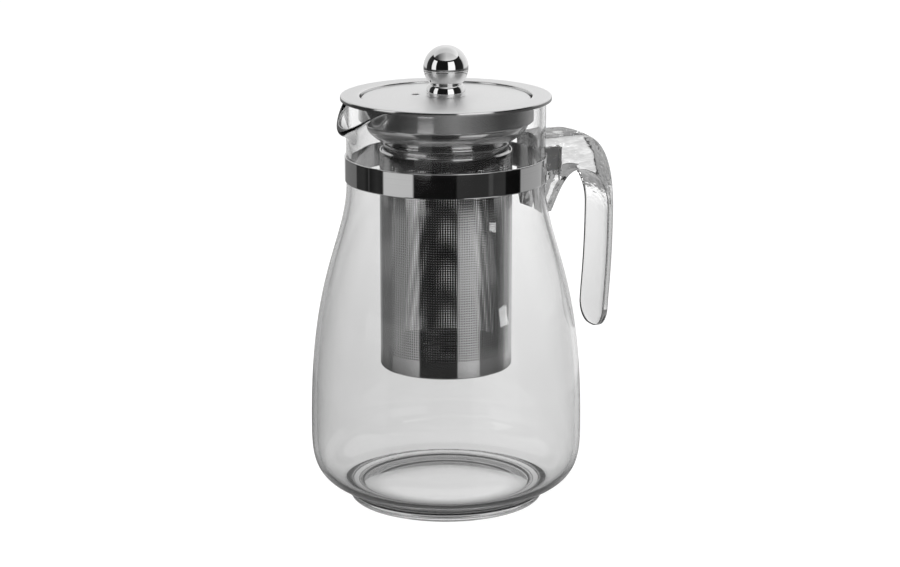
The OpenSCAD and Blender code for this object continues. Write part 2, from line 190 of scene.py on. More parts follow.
def lathe(name, outline, segments=160, sharp=SHARP):
    """Revolves a closed outline of (radius, z) points round the axis."""
    verts, faces, rings = [], [], []
    for r, z in outline:
        if r < 1e-6:
            rings.append([len(verts)])
            verts.append((0.0, 0.0, z))
        else:
            rings.append(list(range(len(verts), len(verts) + segments)))
            for k in range(segments):
                a = 2 * math.pi * k / segments
                verts.append((r * math.cos(a), r * math.sin(a), z))
    for i, a in enumerate(rings):
        b = rings[(i + 1) % len(rings)]
        if len(a) == 1 and len(b) == 1:
            continue
        for k in range(segments):
            m = (k + 1) % segments
            if len(a) == 1:
                faces.append((a[0], b[k], b[m]))
            elif len(b) == 1:
                faces.append((a[k], a[m], b[0]))
            else:
                faces.append((a[k], a[m], b[m], b[k]))
    return make(name, verts, faces, sharp)


def skin(name, sections, sharp=SHARP):
    """Joins closed sections of equal length into a solid with capped ends."""
    n = len(sections[0])
    verts = [p for s in sections for p in s]
    faces = []
    for i in range(len(sections) - 1):
        for k in range(n):
            m = (k + 1) % n
            faces.append((i * n + k, i * n + m, (i + 1) * n + m, (i + 1) * n + k))
    faces.append(tuple(range(n)))
    faces.append(tuple(range(len(verts) - n, len(verts))))
    return make(name, verts, faces, sharp)


def cut(obj, cutter):
    """Takes a cutter away from a piece and applies the result."""
    m = obj.modifiers.new("cut", "BOOLEAN")
    m.operation = "DIFFERENCE"
    m.solver = "EXACT"
    m.object = cutter
    bpy.context.view_layer.update()
    deps = bpy.context.evaluated_depsgraph_get()
    mesh = bpy.data.meshes.new_from_object(obj.evaluated_get(deps))
    obj.modifiers.clear()
    old = obj.data
    obj.data = mesh
    bpy.data.meshes.remove(old)
    bpy.data.objects.remove(cutter)
    set_smooth(mesh, SHARP)


# Materials


class Nodes:
    """A small helper to write node trees."""

    def __init__(self, tree, output):
        self.tree = tree
        self.tree.nodes.clear()
        self.out = self.add(output)

    def add(self, kind, inputs=None, **props):
        n = self.tree.nodes.new(kind)
        for k, v in props.items():
            setattr(n, k, v)
        for k, v in (inputs or {}).items():
            if isinstance(v, bpy.types.NodeSocket):
                self.tree.links.new(v, n.inputs[k])
            else:
                n.inputs[k].default_value = v
        return n

    def math(self, op, a, b=0.0, clamp=False):
        return self.add("ShaderNodeMath", {0: a, 1: b}, operation=op, use_clamp=clamp).outputs[0]

    def span(self, value, lo, hi, to_lo, to_hi):
        inputs = {"Value": value, "From Min": lo, "From Max": hi, "To Min": to_lo, "To Max": to_hi}
        return self.add("ShaderNodeMapRange", inputs).outputs["Result"]

    def mix(self, factor, a, b):
        return self.add("ShaderNodeMix", {"Factor": factor, "A": a, "B": b}).outputs["Result"]

    def mix_greys(self, factor, a, b):
        """Mixes two colours, each a grey level or a colour socket."""
        inputs = {"Factor": factor}
        for key, v in (("A", a), ("B", b)):
            inputs[key] = v if isinstance(v, bpy.types.NodeSocket) else (v, v, v, 1)
        return self.add("ShaderNodeMix", inputs, data_type="RGBA").outputs["Result"]

    def mix_shaders(self, factor, a, b):
        return self.add("ShaderNodeMixShader", {"Fac": factor, 1: a, 2: b}).outputs["Shader"]

    def noise(self, place, scale, detail=3.0, rough=0.5, dims="3D"):
        inputs = {"Scale": scale, "Detail": detail, "Roughness": rough, "W" if dims == "1D" else "Vector": place}
        return self.add("ShaderNodeTexNoise", inputs, noise_dimensions=dims).outputs["Fac"]

    def place(self, scale=(1, 1, 1)):
        co = self.add("ShaderNodeTexCoord").outputs["Object"]
        return self.add("ShaderNodeMapping", {"Vector": co, "Scale": scale}).outputs["Vector"]

    def parts(self, vector):
        return self.add("ShaderNodeSeparateXYZ", {"Vector": vector}).outputs

    def mirrored(self, path):
        """Two factors, 0 or 1, for reflected light: that it has met metal, and that it was only thrown about
        inside a clear wall, which it has passed into or out of one to three times."""
        through = path.outputs["Transmission Depth"]
        reflected = self.math("GREATER_THAN", path.outputs["Glossy Depth"], 0.5)
        few = self.math("MULTIPLY", self.math("GREATER_THAN", through, 0.5), self.math("LESS_THAN", through, 3.5))
        inside = self.math("MULTIPLY", few, path.outputs["Is Transmission Ray"])
        inside = self.math("MULTIPLY", reflected, inside)
        return self.math("SUBTRACT", reflected, inside), inside

    def end(self, socket, name="Surface"):
        self.tree.links.new(socket, self.out.inputs[name])


def new_material(name):
    mat = bpy.data.materials.new(name)
    mat.use_nodes = True
    return mat, Nodes(mat.node_tree, "ShaderNodeOutputMaterial")


def steel(name, grey, rough, smudge, brush, brush_scale, bump, around=True, inner=1.0):
    """Metal with fine brushing round the axis or up it, finger smudges and hairline wear.

    inner paints shade: it darkens the faces that are seen from inside a piece of thin sheet."""
    mat, t = new_material(name)
    x, y, z = t.parts(t.add("ShaderNodeTexCoord").outputs["Object"])
    if around:
        square = t.math("ADD", t.math("MULTIPLY", x, x), t.math("MULTIPLY", y, y))
        line = t.math("ADD", t.math("POWER", square, 0.5), z)
    else:
        line = t.math("ARCTAN2", y, x)
    fine = t.noise(line, brush_scale, 4.0, 0.65, "1D")
    wide = t.noise(t.place(), 60.0, 4.0, 0.6)
    spots = t.noise(t.place(), 900.0, 2.0, 0.5)
    level = t.span(wide, 0.35, 0.7, rough - smudge, rough + smudge)
    level = t.math("ADD", level, t.span(fine, 0.3, 0.7, -brush, brush))
    level = t.math("ADD", level, t.span(spots, 0.62, 0.8, 0.0, smudge), clamp=True)
    tint = t.mix_greys(t.span(wide, 0.3, 0.75, 0.0, 1.0), grey * 0.97, grey)
    tone = t.span(fine, 0.2, 0.8, 0.96, 1.04)
    colour = t.add("ShaderNodeHueSaturation", {"Color": tint, "Value": tone}).outputs["Color"]
    # Painted shade: faces seen from inside the sheet take a darker grey.
    if inner < 1.0:
        colour = t.mix_greys(t.add("ShaderNodeNewGeometry").outputs["Backfacing"], colour, grey * inner)
    height = t.add("ShaderNodeBump", {"Strength": bump, "Distance": 0.0002, "Height": fine}).outputs["Normal"]
    inputs = {"Base Color": colour, "Metallic": 1.0, "Roughness": level, "Normal": height}
    t.end(t.add("ShaderNodeBsdfPrincipled", inputs).outputs["BSDF"])
    return mat


def clear(name, grey, ior, rough, wave, wave_scale, density, shadow, ripple=None):
    """Clear glass or plastic with soft waves from forming, a little haze and light absorbed along its depth.

    Above the height ripple, in metres, the waves are 30 times as strong."""
    mat, t = new_material(name)
    slow = t.noise(t.place((1, 1, 0.45)), wave_scale, 2.0, 0.5)
    streak = t.noise(t.place((1, 1, 6.0)), wave_scale * 1.4, 3.0, 0.6)
    waves = t.math("ADD", t.math("MULTIPLY", slow, 0.7), t.math("MULTIPLY", streak, 0.3))
    strength = wave
    if ripple:
        strength = t.span(t.parts(t.place())[2], ripple - 0.01, ripple + 0.012, wave, wave * 30)
        small = t.noise(t.place((1, 1, 1.6)), 190.0, 1.5, 0.45)
        waves = t.math("ADD", waves, t.math("MULTIPLY", small, 0.6))
    height = t.add("ShaderNodeBump", {"Strength": strength, "Distance": 0.001, "Height": waves})
    inputs = {
        "Base Color": (grey, grey, grey, 1),
        "Roughness": t.span(t.noise(t.place(), 420.0, 3.0, 0.6), 0.45, 0.8, rough, rough * 2.2),
        "IOR": ior,
        "Transmission Weight": 1.0,
        "Normal": height.outputs["Normal"],
    }
    wall = t.add("ShaderNodeBsdfPrincipled", inputs).outputs["BSDF"]
    path = t.add("ShaderNodeLightPath").outputs
    passing = t.add("ShaderNodeBsdfTransparent", {"Color": (shadow, shadow, shadow, 1)}).outputs["BSDF"]
    t.end(t.mix_shaders(t.math("MAXIMUM", path["Is Shadow Ray"], path["Is Diffuse Ray"]), wall, passing))
    absorbed = t.add("ShaderNodeVolumeAbsorption", {"Color": (0.36, 0.36, 0.36, 1), "Density": density})
    t.end(absorbed.outputs["Volume"], "Volume")
    return mat


GLASS = clear("clear_glass", 0.99, 1.5, 0.004, 0.015, 26.0, 15.0, 0.93)
PLASTIC = clear("clear_plastic", 0.82, 1.49, 0.02, 0.03, 40.0, 16.0, 0.9, ripple=0.14)
# Grey level, roughness, smudges, brushing, the scale of the brushing and its bump.
POLISHED = steel("polished_steel", 0.86, 0.04, 0.012, 0.008, 900.0, 0.004)
BAND = steel("band_steel", 0.78, 0.05, 0.015, 0.015, 1500.0, 0.006)
SATIN = steel("satin_steel", 0.93, 0.46, 0.02, 0.012, 1800.0, 0.004)
COLLAR = steel("collar_steel", 0.74, 0.12, 0.02, 0.02, 1600.0, 0.012)
# The mesh's inside faces get painted shade, at 0.12 of its grey.
MESH = steel("mesh_steel", 0.74, 0.07, 0.015, 0.01, 40.0, 0.006, around=False, inner=0.12)
EAR = steel("ear_steel", 0.9, 0.48, 0.05, 0.05, 900.0, 0.03)
PLAIN = steel("plain_steel", 0.58, 0.34, 0.05, 0.05, 1200.0, 0.05)


# Glass jug


def glass_side(steps=40):
    """The outer face from the top of the foot ring to the foot of the spout."""
    foot, belly, shoulder = (FOOT_R, FOOT_H), (BELLY_R, BELLY_Z), (NECK_R, SHOULDER_Z)
    side = bezier_points(foot, FOOT_PULL, (BELLY_R, BELLY_LOW), belly, steps)
    side += bezier_points(belly, (BELLY_R, BELLY_HIGH), (NECK_R, NECK_LOW), shoulder, steps + 20, 1)
    side += [(NECK_R, lerp(SHOULDER_Z, SPOUT_Z, k / 5)) for k in range(1, 6)]
    return side


def draw_at(angle):
    """How far the glass at this angle from the spout's middle is drawn out, from 0 to 1."""
    a = abs(angle)
    return ((1 + math.cos(math.pi * a / SPOUT_SIDE)) / 2) ** SPOUT_PINCH if a < SPOUT_SIDE else 0.0


def spout_outline(draw, steps=18, lip=10):
    """The outer face from the spout's foot up, the lip and the inner face down again."""
    top = RIM_Z - GLASS_T / 2 - SPOUT_DROP * draw
    outer, inner = [], []
    for i in range(steps + 1):
        u = i / steps
        m = (NECK_R - GLASS_T / 2 + SPOUT_REACH * draw * u ** SPOUT_CURVE, SPOUT_Z + (top - SPOUT_Z) * u)
        d = (top - SPOUT_Z, -SPOUT_REACH * draw * SPOUT_CURVE * u ** (SPOUT_CURVE - 1))
        n = math.hypot(*d)
        o = (d[0] / n, d[1] / n)
        h = (GLASS_T + (SPOUT_BEAD - GLASS_T) * draw * u ** 4) / 2
        outer.append((m[0] + h * o[0], m[1] + h * o[1]))
        inner.append((m[0] - h * o[0], m[1] - h * o[1]))
    up = (-o[1], o[0])
    cap = []
    for k in range(1, lip):
        c, s = math.cos(math.pi * k / lip), math.sin(math.pi * k / lip)
        cap.append((m[0] + h * (c * o[0] + s * up[0]), m[1] + h * (c * o[1] + s * up[1])))
    return outer + cap + inner[::-1]


def base_outline(side):
    """The hollow under the base, the foot ring and the fillet up to the side, and the point where it joins that."""
    edge, bore = 0.5, FOOT_R - FOOT_FACE
    out = bezier_points((0, PUNT_H), (18.0, PUNT_H), (bore - 8.8, PUNT_H), (bore - 1.6, 1.9), 30)
    out += [(bore - 0.8, 1.3), (bore - 0.2, 0.8)] + arc((bore + edge, edge), edge, 180, 270, 4, 1)
    out += arc((FOOT_R - edge, edge), edge, 270, 360, 6)
    join = next(i for i, p in enumerate(side) if p[0] > FOOT_R + 5.0)
    (r0, z0), (r1, z1) = side[join - 1], side[join]
    slope = (z1 - z0) / (r1 - r0)
    out += bezier_points((FOOT_R, 1.4), (FOOT_R, 4.9), (r1 - 3.0, z1 - 3.0 * slope), (r1, z1), 16)
    return out, join


def inner_outline(side):
    """The inner face from under the spout down over the belly to the middle of the base."""
    turn_z, pull, floor_r, floor_z = 10.2, 6.0, 36.0, PUNT_H + BASE_T
    wall = moved(side, GLASS_T)
    wall[-1] = (NECK_R - GLASS_T, SPOUT_Z)
    wall = [p for p in wall if p[1] > turn_z]
    heel, way = wall[0], (wall[0][0] - wall[1][0], wall[0][1] - wall[1][1])
    pull = pull / math.hypot(*way)
    turned = (heel[0] + pull * way[0], heel[1] + pull * way[1])
    return wall[:-1][::-1] + bezier_points(heel, turned, (floor_r, floor_z), (0, floor_z), 40, 1)


def glass():
    """The jug as one closed wall, drawn out and pinched at the spout."""
    side = glass_side()
    base, join = base_outline(side)
    inside = inner_outline(side)
    count = 288
    verts, faces = [], []
    for k in range(count):
        row = base + side[join + 1:-1] + spout_outline(draw_at(360.0 * k / count - 180.0)) + inside
        a = 2 * math.pi * k / count
        verts += [(r * math.cos(a), r * math.sin(a), z) for r, z in row]
    n = len(verts) // count
    for k in range(count):
        a, b = k * n, (k + 1) % count * n
        faces.append((a, b + 1, a + 1))
        faces += [(a + i, b + i, b + i + 1, a + i + 1) for i in range(1, n - 2)]
        faces.append((a + n - 2, b + n - 2, a + n - 1))
    return make("glass_jug", verts, faces, sharp=40)


jug = glass()
jug.data.materials.append(GLASS)
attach(jug, "jug")
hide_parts("glass_body")


# Neck band


def band_path():
    """The middle line of the strip, from the hook of one ear round the neck to the hook of the other."""
    x, y, r = EAR_END - BAND_T / 2, EAR_INNER + BAND_T / 2, NECK_R + BAND_T / 2
    hook, bend = 0.5, 1.4
    tail = [(x, EAR_INNER + BAND_T + HOOK_W), (x, y + 1.2)]
    tail += [(x - hook + hook * math.cos(a), y + hook - hook * math.sin(a)) for a in (0.0, 0.5, 1.05, math.pi / 2)]
    tail += [(lerp(x - 1, r + 1.9, k / 4), y) for k in range(5)]
    start = math.degrees(math.asin((y + bend) / (r + bend)))
    cx, cy = (r + bend) * math.cos(math.radians(start)), y + bend
    for a in (-100, -115, -135, -155, -170):
        tail.append((cx + bend * math.cos(math.radians(a)), cy + bend * math.sin(math.radians(a))))
    return tail + arc((0, 0), r, start + 0.6, 360 - start - 0.6, 200) + [(px, -py) for px, py in tail][::-1]


def swept_band():
    """The band and its two hooked ears, one strip bent round the neck."""
    edge, half = 0.22, BAND_T / 2
    low, high = BAND_Z + 2.1 * edge, BAND_Z + BAND_W - 2.1 * edge
    face = [(half, BAND_Z, edge), (half, low, 0), (half, high, 0), (half, BAND_Z + BAND_W, edge)]
    section = rounded(face + [(-d, z, e) for d, z, e in face][::-1])
    path = band_path()
    sections = []
    for i, p in enumerate(path):
        n = normal(path[max(i - 1, 0)], path[min(i + 1, len(path) - 1)])
        sections.append([(p[0] - n[0] * d, p[1] - n[1] * d, z) for d, z in section])
    return skin("band_strip", sections, sharp=25)


band = swept_band()
band.data.materials.append(BAND)
band.data.materials.append(EAR)
for poly in band.data.polygons:
    if poly.center.x > EAR_FROM * MM:
        poly.material_index = 1
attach(band, "jug")
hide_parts("neck_band")

pin_low = [(0, BAND_Z), (PIN_R - PIN_EDGE, BAND_Z), (PIN_R, BAND_Z + PIN_EDGE)]
pin_top = BAND_Z + BAND_W
pin = lathe("pin_rod", pin_low + [(PIN_R, pin_top - PIN_EDGE), (PIN_R - PIN_EDGE, pin_top), (0, pin_top)], 32)
pin.data.transform(Matrix.Translation(((EAR_END - PIN_BACK) * MM, 0, 0)))
pin.data.materials.append(PLAIN)
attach(pin, "jug")
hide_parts("lock_pin")


# Handle


def toward(a, b, across, up):
    """The point that lies these shares of the way from a to b, across and up."""
    return a[0] + across * (b[0] - a[0]), a[1] + up * (b[1] - a[1])


def handle_pairs():
    """Pairs of points on the outer and the inner edge of the handle, from its root to its free end."""
    n, grip_steps = 26, 38
    arm_end = (ARM_END_R, HANDLE_TOP)
    top, end = (HANDLE_R, GRIP_Z), (GRIP_END_R, HANDLE_END)
    inner_top, inner_end = (HANDLE_R - HANDLE_EDGE, GRIP_Z), (GRIP_END_R - HANDLE_EDGE, HANDLE_END)
    arm = [(lerp(ROOT_R, ARM_END_R, i / n), HANDLE_TOP) for i in range(n + 1)]
    under = bezier_points(TAIL, toward(TAIL, GAP_TOP, 0.28, 0.48), toward(GAP_TOP, TAIL, 0.48, 0), GAP_TOP, n - 1)
    pairs = list(zip(arm, [(ROOT_R, TAIL[1])] + under))
    bend = bezier_points(arm_end, toward(arm_end, top, 0.78, 0), toward(top, arm_end, 0, 0.5), top, n, 1)
    inner_bend = (GAP_TOP, toward(GAP_TOP, inner_top, 0.62, 0), toward(inner_top, GAP_TOP, 0, 0.54), inner_top)
    pairs += zip(bend, bezier_points(*inner_bend, n, 1))
    pull = 0.55 * (top[1] - end[1])
    for i in range(1, grip_steps + 1):
        t = 1 - (1 - i / grip_steps) ** 2
        ends = (top, end), (inner_top, inner_end)
        pairs.append([bezier(a, (a[0], a[1] - pull), (b[0], b[1] + pull / 2), b, t) for a, b in ends])
    return pairs


def handle_section(pair):
    """One cross-section, with a slight crown outside, rounded long edges and rounded corners at the free end."""
    (ox, oz), (ix, iz) = pair
    d = math.hypot(ox - ix, oz - iz)
    out = ((ox - ix) / d, (oz - iz) / d)
    into = max(HANDLE_CORNER - max(oz - HANDLE_END, 0.0), 0.0)
    half = HANDLE_W / 2 - HANDLE_CORNER + math.sqrt(max(HANDLE_CORNER ** 2 - into ** 2, 0.0))
    crown = HANDLE_CROWN * half / (HANDLE_W / 2)
    ro, ri = min(0.9, half / 3, d / 3), min(0.6, half / 3, d / 3)
    flat = half - ro
    near = [(flat * t, d + crown * (1 - t * t)) for t in (0.0, 0.2, 0.4, 0.6, 0.8, 0.96)]
    near += [(flat + ro * math.sin(a), d - ro + ro * math.cos(a)) for a in [math.radians(15 * k) for k in range(7)]]
    near += [(half, lerp(d - ro, ri, 0.06)), (half, lerp(d - ro, ri, 0.94))]
    near += [(half - ri + ri * math.cos(a), ri - ri * math.sin(a)) for a in [math.radians(18 * k) for k in range(6)]]
    near += [((half - ri) * t, 0.0) for t in (0.97, 0.8, 0.6, 0.4, 0.2, 0.0)]
    far = [(-u, v) for u, v in near[1:-1]][::-1]
    return [(ix + v * out[0], u, iz + v * out[1]) for u, v in near + far]


def handle():
    """The moulded handle, less the neck, the groove for the band and the slot for the ears and their hooks."""
    body = skin("clear_handle", [handle_section(p) for p in handle_pairs()], sharp=40)
    neck = [(0, FOOT_H)] + moved(glass_side(24), -ROOM) + [(NECK_R + ROOM, RIM_Z), (0, RIM_Z)]
    cut(body, lathe("neck_cutter", neck, 240))
    r, low, high = NECK_R + BAND_T + ROOM, BAND_Z - ROOM, BAND_Z + BAND_W + ROOM
    cut(body, lathe("groove_cutter", [(0, low), (r, low), (r, high), (0, high)], 240))
    end, high = EAR_END + 0.2, BAND_Z + BAND_W + 0.2
    for start, half in ((0.0, SLOT_HALF), (EAR_END - BAND_T - 0.2, HOOK_HALF)):
        outline = rounded([(start, -half, 0.0), (end, -half, 0.25), (end, half, 0.25), (start, half, 0.0)])
        cut(body, skin("slot_cutter", [[(x, y, z) for x, y in outline] for z in (SLOT_LOW, high)]))
    return body


grip = handle()
grip.data.materials.append(PLASTIC)
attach(grip, "jug")
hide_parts("handle")


# Infuser collar and basket


def collar():
    """The spun sheet from the flange's edge over the ledge and the bowl to the neck of the basket."""
    bore, waist, ledge, bowl_top = BASKET_R - BASKET_T, WAIST_R - SHEET, LEDGE_R - SHEET, LEDGE_Z - SHEET
    line = [(FLANGE_R, FLANGE_TOP - FLANGE_EDGE)]
    line += arc((FLANGE_R - SHEET, FLANGE_TOP - SHEET), SHEET, 0, 90, 6)
    line += [(lerp(FLANGE_R - SHEET, COLLAR_R + SHEET, k / 8), FLANGE_TOP) for k in range(1, 8)]
    line += arc((COLLAR_R + SHEET, FLANGE_TOP - SHEET), SHEET, 90, 180, 6)
    line += [(COLLAR_R, lerp(FLANGE_TOP - SHEET, LEDGE_Z, k / 6)) for k in range(1, 6)]
    line += [(COLLAR_R, LEDGE_Z + 0.25), (COLLAR_R - 0.25, LEDGE_Z), (LEDGE_R + 0.2, LEDGE_Z)]
    bowl = ((ledge, bowl_top), (ledge, bowl_top - BOWL_H / 2), (waist, WAIST_Z + BOWL_H / 3), (waist, WAIST_Z))
    line += bezier_points(*bowl, 30)
    line += [(waist, BASKET_TOP), (bore - SHEET, BASKET_TOP - (bore - WAIST_R)), (bore - SHEET, BASKET_TOP - 5)]
    return lathe("infuser_rim", line + moved(line, SHEET)[::-1], 224, 34)


rim = collar()
rim.data.materials.append(COLLAR)
rim.data.materials.append(SATIN)
for poly in rim.data.polygons:
    if poly.center.z > (FLANGE_TOP - 0.35) * MM and poly.normal.z > 0.5:
        poly.material_index = 1
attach(rim, "infuser")
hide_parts("infuser_collar")


def basket():
    """The tube with its square grid of holes, a plain overlap up one side and plain ends."""
    columns = int(round(2 * math.pi * BASKET_R / PITCH))
    rows = int(round((MESH_HIGH - MESH_LOW) / PITCH))
    step, high = 360.0 / columns, (MESH_HIGH - MESH_LOW) / rows
    bore = BASKET_R - BASKET_T
    verts, faces = [], []

    def ring(r, z):
        first = len(verts)
        for k in range(columns):
            a = math.radians(k * step)
            verts.append((r * math.cos(a), r * math.sin(a), z))
        return first

    low = [ring(bore, BASKET_Z), ring(bore + 0.1, BASKET_Z)]
    low += [ring(BASKET_R - 0.4, BASKET_Z), ring(BASKET_R, BASKET_Z + 0.5)]
    grid = [ring(BASKET_R, MESH_LOW + j * high) for j in range(rows + 1)]
    top = [ring(BASKET_R, BASKET_TOP - 0.15), ring(BASKET_R - 0.15, BASKET_TOP), ring(bore, BASKET_TOP)]
    inner = ring(bore, MESH_LOW - 0.5)
    for chain in (low + grid[:1], grid[-1:] + top, [inner, low[0]]):
        for a, b in zip(chain, chain[1:]):
            for k in range(columns):
                m = (k + 1) % columns
                faces.append((a + k, a + m, b + m, b + k))
    for k in range(columns):
        m = (k + 1) % columns
        centre = (k + 0.5) * step
        plain = PLAIN_FROM <= centre <= PLAIN_TO
        for j in range(rows):
            corner = (grid[j] + k, grid[j] + m, grid[j + 1] + m, grid[j + 1] + k)
            if plain:
                faces.append(corner)
                continue
            z, o = MESH_LOW + (j + 0.5) * high, len(verts)
            for r, half in ((BASKET_R, HOLE_RIM), (BASKET_R - HOLE_DEPTH, HOLE)):
                for sa, sz in ((-1, -1), (1, -1), (1, 1), (-1, 1)):
                    a = math.radians(centre) + sa * half / BASKET_R
                    verts.append((r * math.cos(a), r * math.sin(a), z + sz * half))
            for q in range(4):
                p = (q + 1) % 4
                faces.append((corner[q], corner[p], o + p, o + q))
                faces.append((o + q, o + p, o + 4 + p, o + 4 + q))
    obj = link("mesh_tube", verts, faces)
    set_smooth(obj.data, 30)
    return obj


tube = basket()
tube.data.materials.append(MESH)
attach(tube, "infuser")
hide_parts("infuser_basket")


def basket_pan():
    """The pan in the lower end of the basket, with a raised ring pressed into it."""
    r, t = BASKET_R - BASKET_T, BASKET_T
    under = [(0, 0), (8, 0), (8.8, 0.35), (11.2, 0.35), (12, 0), (r - 1.0, 0), (r - 0.3, 0.2), (r, 0.8), (r, 4)]
    over = [(r - t, 4), (r - t, 1.1), (r - t - 0.5, t), (12.2, t), (11.4, t + 0.35), (8.6, t + 0.35), (7.8, t), (0, t)]
    return lathe("mesh_floor", [(x, BASKET_Z + z) for x, z in under + over], 160, 50)


pan = basket_pan()
pan.data.materials.append(MESH)
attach(pan, "infuser")
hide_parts("basket_floor")


# Lid and knob


def lid():
    """The pressed lid, flat in the middle and falling a little to its rounded edge, with its vent hole."""
    edge_r, third = LID_R - LID_EDGE_R, (LID_R - LID_SEAT) / 3
    edge_pull = (edge_r - third, LID_EDGE_Z + (LID_TOP - LID_EDGE_Z) / 3)
    line = [(2.6, LID_TOP), (KNOB_FOOT - 0.6, LID_TOP), (LID_SEAT, LID_TOP)]
    line += bezier_points((LID_SEAT, LID_TOP), (LID_SEAT + third, LID_TOP), edge_pull, (edge_r, LID_EDGE_Z), 24, 1)
    line += arc((edge_r, LID_EDGE_Z - LID_EDGE_R), LID_EDGE_R, 90, 0, 8, 1)
    line += [(LID_R, lerp(LID_EDGE_Z - LID_EDGE_R, LEDGE_Z, k / 4)) for k in range(1, 5)]
    top = lathe("lid_cover", line + moved(line, -SHEET)[::-1], 224, 34)
    a = math.radians(VENT_ANGLE)
    vent = arc((VENT_AT * math.cos(a), VENT_AT * math.sin(a)), VENT_R, 0, 360, 40)[:-1]
    cut(top, skin("vent_cutter", [[(x, y, z) for x, y in vent] for z in (LID_TOP - 4, LID_TOP + 4)]))
    return top


cover = lid()
cover.data.materials.append(SATIN)
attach(cover, "lid")
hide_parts("lid_plate")

# The knob is two hollow shells that meet at a seam a little under the middle of the ball.
SEAM_DROP, SEAM_HALF, SEAM_DEPTH, SEAM_TURN, FOOT_TOP = 1.0, 0.04, 0.10, 0.7, 1.3
seam = -math.degrees(math.asin(SEAM_DROP / KNOB_R))
waist = -math.acos(KNOB_WAIST / KNOB_R)
waist_angle, waist_z = math.degrees(waist), BALL_Z + KNOB_R * math.sin(waist)

lower = [(KNOB_FOOT - 0.5, KNOB_Z), (KNOB_FOOT - 0.12, KNOB_Z + 0.12), (KNOB_FOOT, KNOB_Z + 0.45)]
start, end = (KNOB_FOOT, KNOB_Z + FOOT_TOP), (KNOB_WAIST, waist_z)
lower += bezier_points(start, toward(start, end, 0, 0.5), toward(end, start, 0.5, 0), end, 20)
lower += arc((0, BALL_Z), KNOB_R, waist_angle, seam - SEAM_TURN, 24, 1)
lower += [(KNOB_R - d, BALL_Z - SEAM_DROP - SEAM_HALF) for d in (SEAM_DEPTH, SHEET)]
lower += arc((0, BALL_Z), KNOB_R - SHEET, seam - SEAM_TURN, waist_angle + 4, 16, 1)
lower += [(KNOB_WAIST - SHEET, KNOB_Z + 3.0), (KNOB_FOOT - SHEET, KNOB_Z + 1.2), (KNOB_FOOT - SHEET, KNOB_Z)]
base = lathe("knob_lower", lower, 128, 40)
base.data.materials.append(POLISHED)
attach(base, "lid")
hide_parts("knob_base")

upper = [(KNOB_R - d, BALL_Z - SEAM_DROP + SEAM_HALF) for d in (SHEET, SEAM_DEPTH)]
upper += arc((0, BALL_Z), KNOB_R, seam + SEAM_TURN, 90, 48)[:-1]
upper += [(0, BALL_Z + KNOB_R), (0, BALL_Z + KNOB_R - SHEET)]
upper += arc((0, BALL_Z), KNOB_R - SHEET, 90, seam + SEAM_TURN, 24, 1)
cap = lathe("knob_upper", upper, 128, 40)
cap.data.materials.append(POLISHED)
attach(cap, "lid")
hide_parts("knob_cap")

for name in ("knob_boss", "knob_screw", "knob_washer"):
    node = frame["nodes"][name]
    node.data.materials.clear()
    node.data.materials.append(PLAIN)


# Camera

CAM_D, CAM_H, AIM_Z, FOCAL_PX, SENSOR_W, PICTURE_W, AXIS_PX = 1.150, 0.393, 0.1045, 2470.0, 36.0, 900.0, 4.0
azimuth = math.radians(VIEW_AZIMUTH)
right = Vector((math.cos(azimuth), math.sin(azimuth), 0))
data = bpy.data.cameras.new("camera")
data.sensor_fit = "HORIZONTAL"
data.sensor_width = SENSOR_W
data.lens = FOCAL_PX * SENSOR_W / PICTURE_W
data.clip_start, data.clip_end = 0.05, 50.0
camera = bpy.data.objects.new("camera", data)
bpy.context.scene.collection.objects.link(camera)
camera.location = (math.sin(azimuth) * CAM_D, -math.cos(azimuth) * CAM_D, CAM_H)
# The picture's middle lies this many pixels to the right of the jug's axis.
aim = Vector((0, 0, AIM_Z)) + right * (AXIS_PX / FOCAL_PX * math.hypot(CAM_D, CAM_H - AIM_Z))
camera.rotation_euler = (aim - camera.location).to_track_quat("-Z", "Y").to_euler()
bpy.context.scene.camera = camera


def direction(phi, elevation=0.0):
    """A direction by its angle from the camera's side, towards the right, and its angle above the floor."""
    a, e = math.radians(phi + VIEW_AZIMUTH - 90.0), math.radians(elevation)
    return math.cos(a) * math.cos(e), math.sin(a) * math.cos(e), math.sin(e)


def over_floor(t, vector):
    """How far a vector reaches to the right and away along the floor, and up, by directions fixed in the frame.

    Right and away are as seen from the side that the photograph was taken from."""
    x, y, z = t.parts(vector)
    side = t.math("ADD", t.math("MULTIPLY", x, right.x), t.math("MULTIPLY", y, right.y))
    back = t.math("SUBTRACT", t.math("MULTIPLY", y, right.x), t.math("MULTIPLY", x, right.y))
    return side, back, z


# Panels that metal mirrors

# A ring round the object, seen only by light that has met metal. Each table gives levels by the angle from the
# camera's side, towards the right. LOWER is the foot of the ring, and the other three follow higher up.
LOWER = [
    (-180, 0.5), (-150, 0.35), (-140, 0.16), (-104, 0.15), (-101, 0.30), (-72, 0.36), (-46, 0.55), (-43, 0.012),
    (18, 0.012), (20, 0.55), (40, 0.74), (56, 0.66), (59, 0.16), (96, 0.13), (112, 0.24), (124, 0.7), (150, 0.8),
    (180, 0.6),
]
LOW = [
    (-180, 0.7), (-156, 0.62), (-150, 0.2), (-114, 0.17), (-112, 0.03), (-98, 0.035), (-92, 0.012), (-90, 0.06),
    (-88, 0.012), (-78, 0.03), (-70, 0.02), (-68, 0.62), (-35, 0.60), (-33, 0.006), (10, 0.005), (12, 0.035),
    (44, 0.03), (46, 0.07), (49, 0.07), (51, 0.035), (64, 0.04), (66, 0.004), (85, 0.004), (87, 0.35), (120, 0.42),
    (150, 0.6), (180, 0.7),
]
MID = [
    (-180, 0.4), (-140, 0.16), (-110, 0.04), (-60, 0.03), (-20, 0.13), (10, 0.26), (40, 0.14), (70, 0.06),
    (100, 0.10), (130, 0.3), (180, 0.4),
]
